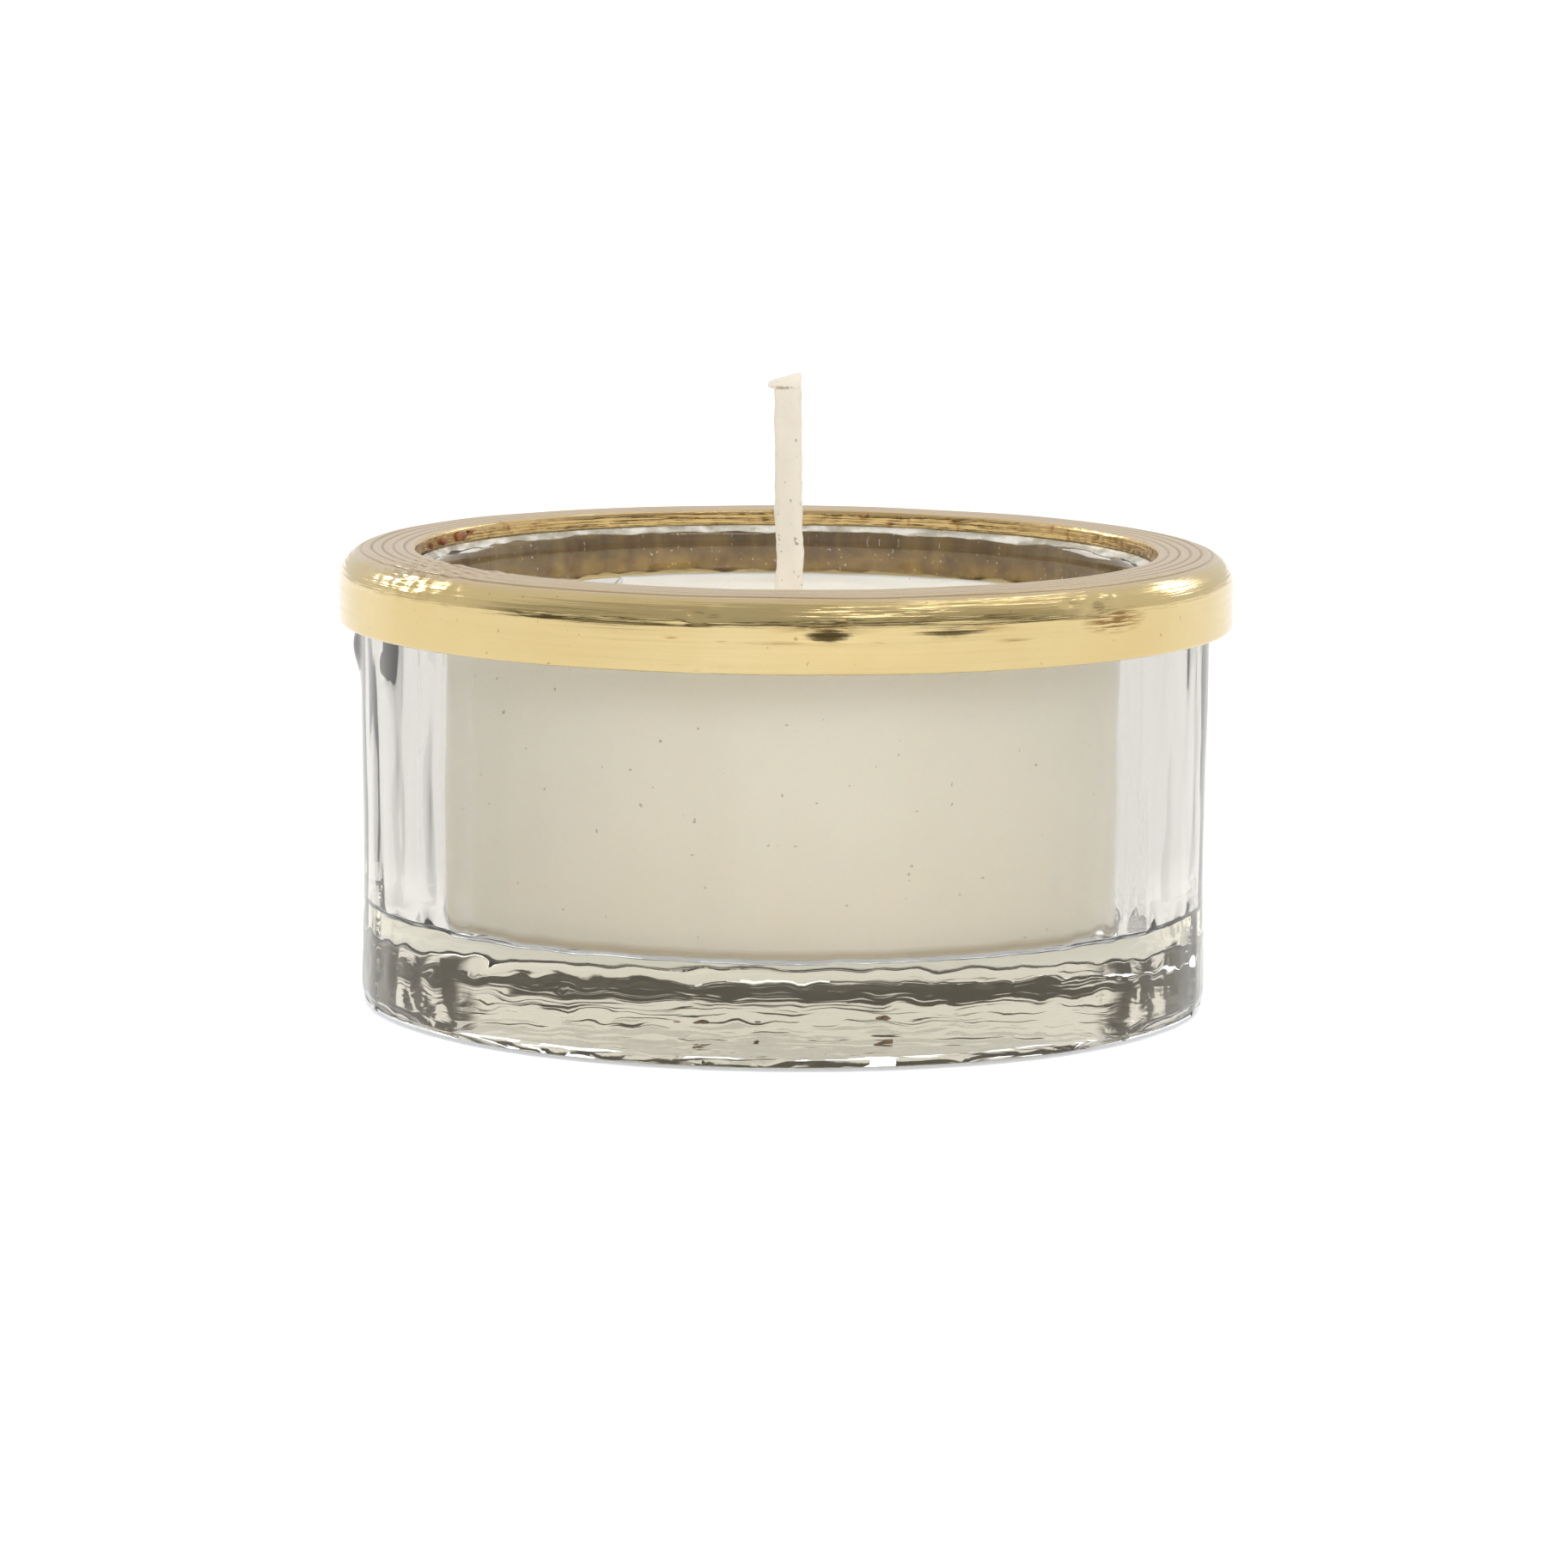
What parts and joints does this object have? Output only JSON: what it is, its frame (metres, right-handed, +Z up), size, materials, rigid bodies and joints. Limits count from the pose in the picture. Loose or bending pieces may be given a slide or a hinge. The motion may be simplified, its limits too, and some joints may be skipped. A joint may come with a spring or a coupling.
{
  "type": "tealight holder",
  "caption": "Round tealight holder: heavy straight-sided clear glass cup with a flat-topped brass rim, holding a lift-out white tealight in a clear plastic cup.",
  "frame": {"origin": "centre of the round foot, on the surface the holder stands on", "axes": "+Z up along the axis of the cup and wick; +X to the right and +Y away as seen from the front; the wick's pinched tip overhangs towards -X"},
  "size_m": [0.0508, 0.0508, 0.036],
  "materials": {
    "holder_glass": "clear moulded soda-lime glass, slightly warm, wavy in its thick base",
    "rim_brass": "bright spun brass, fine turning lines on top, small scratches, dents and dark spots",
    "bond": "aged amber-brown adhesive",
    "clear_cup": "thin clear moulded polycarbonate",
    "wax": "warm white paraffin wax, slightly translucent, satin",
    "wick": "waxed cotton braid",
    "sustainer": "thin tin-plated steel"
  },
  "bodies": {
    "holder": {"glass_cup": "holder_glass", "brass_rim": "rim_brass", "rim_bond": "bond"},
    "tealight": {"tealight_cup": "clear_cup", "wax": "wax", "wick": "wick", "wick_sustainer": "sustainer"}
  },
  "joints": [
    {"name": "tealight_lift", "type": "slide", "parent": "holder", "child": "tealight", "axis": [0, 0, 1], "range_m": [0, 0.03]}
  ]
}
